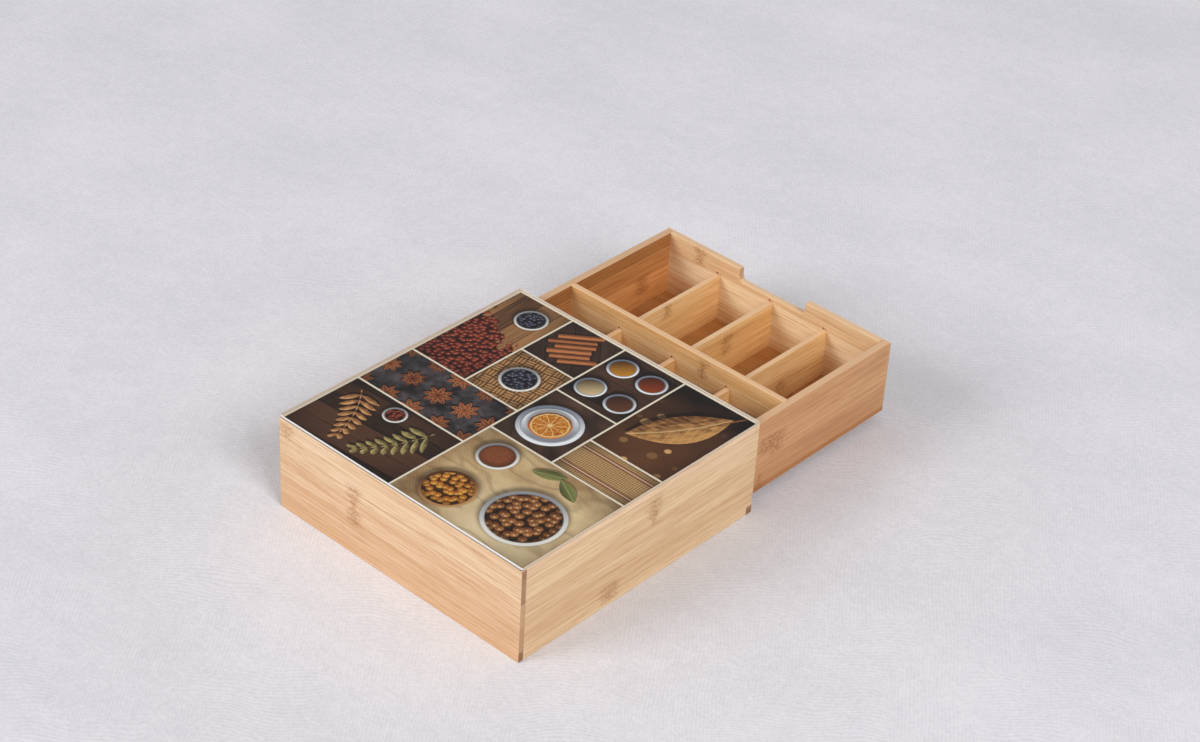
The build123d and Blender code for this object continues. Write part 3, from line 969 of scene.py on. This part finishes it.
# %% Picture of sticks
sticks = Picture("sticks")
sticks.planks(-50, 26, (srgb(28, 20, 18), srgb(78, 54, 42)), 8.0)
rod_u, rod_v = sticks.turned(38)
ROD = 8.5
rod_tone, rod_length, rod_slide = sticks.chance((rod_v / ROD).floor(), 6.0)
rod_across = ((rod_v / ROD).fract() - 0.5) * 2
rod_end = abs(rod_u + (rod_slide - 0.5) * 14) - (rod_length * 9 + 17)
rods = abs(rod_across).fall(0.84, 0.95) * rod_end.fall(-0.4, 0.4) * abs(rod_v).fall(25, 25.6)
sticks.lay(rod_end.fall(-1, 4) * abs(rod_v).fall(25, 30) * 0.8, srgb(10, 7, 6))
bark = sticks.noise(rod_u * 0.12, rod_v * 1.3, 3.0, detail=3.0)
lit = 1 - abs(rod_across - 0.25) * 0.9
bark_colour = sticks.mix((lit * 0.7 + bark * 0.5 + rod_tone * 0.25 - 0.25).rise(0.0, 0.95),
                         srgb(74, 34, 18), srgb(200, 124, 74))
sticks.lay(rods, bark_colour)
curl = abs(rod_across + 0.3 + bark * 0.15).fall(0.05, 0.13)
sticks.lay(rods * curl * 0.75, srgb(34, 15, 9))
sticks.vignette(0.6)
sticks.show()

# %% [markdown]
# Four little dishes of ground spice on dark wood. One dish is drawn, and cutting
# the picture into quarters repeats it. The quarter's place picks the colour of its
# spice from a ramp.

# %% Picture of dishes
dishes = Picture("dishes")
dishes.planks(3, 19, (srgb(26, 18, 16), srgb(84, 56, 42)), 3.0)
quarter_x = dishes.x.rise(-0.01, 0.01)
quarter_y = dishes.y.rise(-0.01, 0.01)
dish_x, dish_y = abs(dishes.x) - 18.5, abs(dishes.y) - 22.5
true_x, true_y = dish_x * (quarter_x * 2 - 1), dish_y * (quarter_y * 2 - 1)
dishes.lay(dishes.length(true_x - 2.5, true_y + 2.5).fall(15, 21) * 0.75, srgb(8, 5, 5))
from_dish = dishes.length(dish_x, dish_y)
toward_light = (true_y - true_x) / 42 + 0.5
china = dishes.mix(toward_light.rise(0.1, 0.9), srgb(120, 128, 144), srgb(244, 246, 250))
dishes.lay(from_dish.fall(15.4, 16.0), china)
RIGHT, UP = 0.34, 0.62
SPICES = ((0.0, srgb(150, 62, 24)), (RIGHT, srgb(206, 140, 44)),
          (UP, srgb(104, 62, 38)), (0.9, srgb(222, 196, 150)))
pick = quarter_x * RIGHT + quarter_y * UP
spice = dishes.node("ValToRGB", {"stops": SPICES}, {"Fac": pick})
grains = dishes.noise(dishes.x * 1.1, dishes.y * 1.1, 2.0, detail=3.0, roughness=0.7)
mound = (grains * 0.9 + toward_light * 0.6 - 0.25).rise(0.1, 0.9)
dishes.lay(from_dish.fall(12.4, 13.0), dishes.mix(mound, srgb(46, 24, 14), spice))
dishes.lay(abs(from_dish - 13.0).fall(0.2, 0.9) * 0.6, srgb(64, 58, 62))
dishes.vignette(0.5)
dishes.show()

# %% [markdown]
# The glass is clear, so what shows is its gloss on top and its edge. A refracting
# glass would keep lamps off the print below it, so the top is a see-through
# surface with a mirror's gloss, mixed by Fresnel as on a window pane. The edges
# are ground: whitish along the front and the back, and with the tint of the wood
# at the two others. At the foot, where the pane stands over the print, runs a
# painted shadow line: dark along the back edge, faint elsewhere.

# %% Glass
GLASS_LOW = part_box("glass_top")[0][2]
FOOT_SHADOW_LINE = (GLASS_LOW + 0.0007, GLASS_LOW + 0.0013)
BACK_HALF = 0.001
WOOD_TINT, WHITISH = srgb(222, 200, 174), srgb(244, 241, 238)
FAINT_FOOT_SHADOW, DARK_FOOT_SHADOW = srgb(206, 182, 156), srgb(92, 72, 62)


def clear_glass():
    recipe = Recipe("clear_glass")
    _, y, z = recipe.place()
    up = abs(recipe.facing()[2])
    gloss = recipe.node("BsdfAnisotropic", None, {"Color": (1.0, 1.0, 1.0), "Roughness": 0.04})
    clear = recipe.node("BsdfTransparent", None, {"Color": (0.99, 0.995, 0.99)})
    from_outside = 1 - recipe.node("NewGeometry", out="Backfacing")
    fresnel = recipe.node("Fresnel", None, {"IOR": 1.3}) * from_outside
    face = recipe.node("MixShader", None, (fresnel, clear, gloss))
    long_side = abs(recipe.facing()[1]).rise(0.3, 0.6)
    ground = recipe.mix(long_side, WOOD_TINT, WHITISH)
    behind = y.rise(-BACK_HALF, BACK_HALF)
    foot_shadow_tone = recipe.mix(long_side * behind, FAINT_FOOT_SHADOW, DARK_FOOT_SHADOW)
    # Painted shadow: a line at the foot of the ground edge, dark along the back edge and faint
    # elsewhere.
    edge = recipe.surface(recipe.mix(z.fall(*FOOT_SHADOW_LINE), ground, foot_shadow_tone), 0.3)
    cut = recipe.node("MixShader", None, (0.8, clear, edge))
    return recipe.finish(recipe.node("MixShader", None, (up.rise(0.75, 0.9), cut, face)))


nodes["glass_top"].material_slots[0].material = clear_glass()
print("glass dressed")
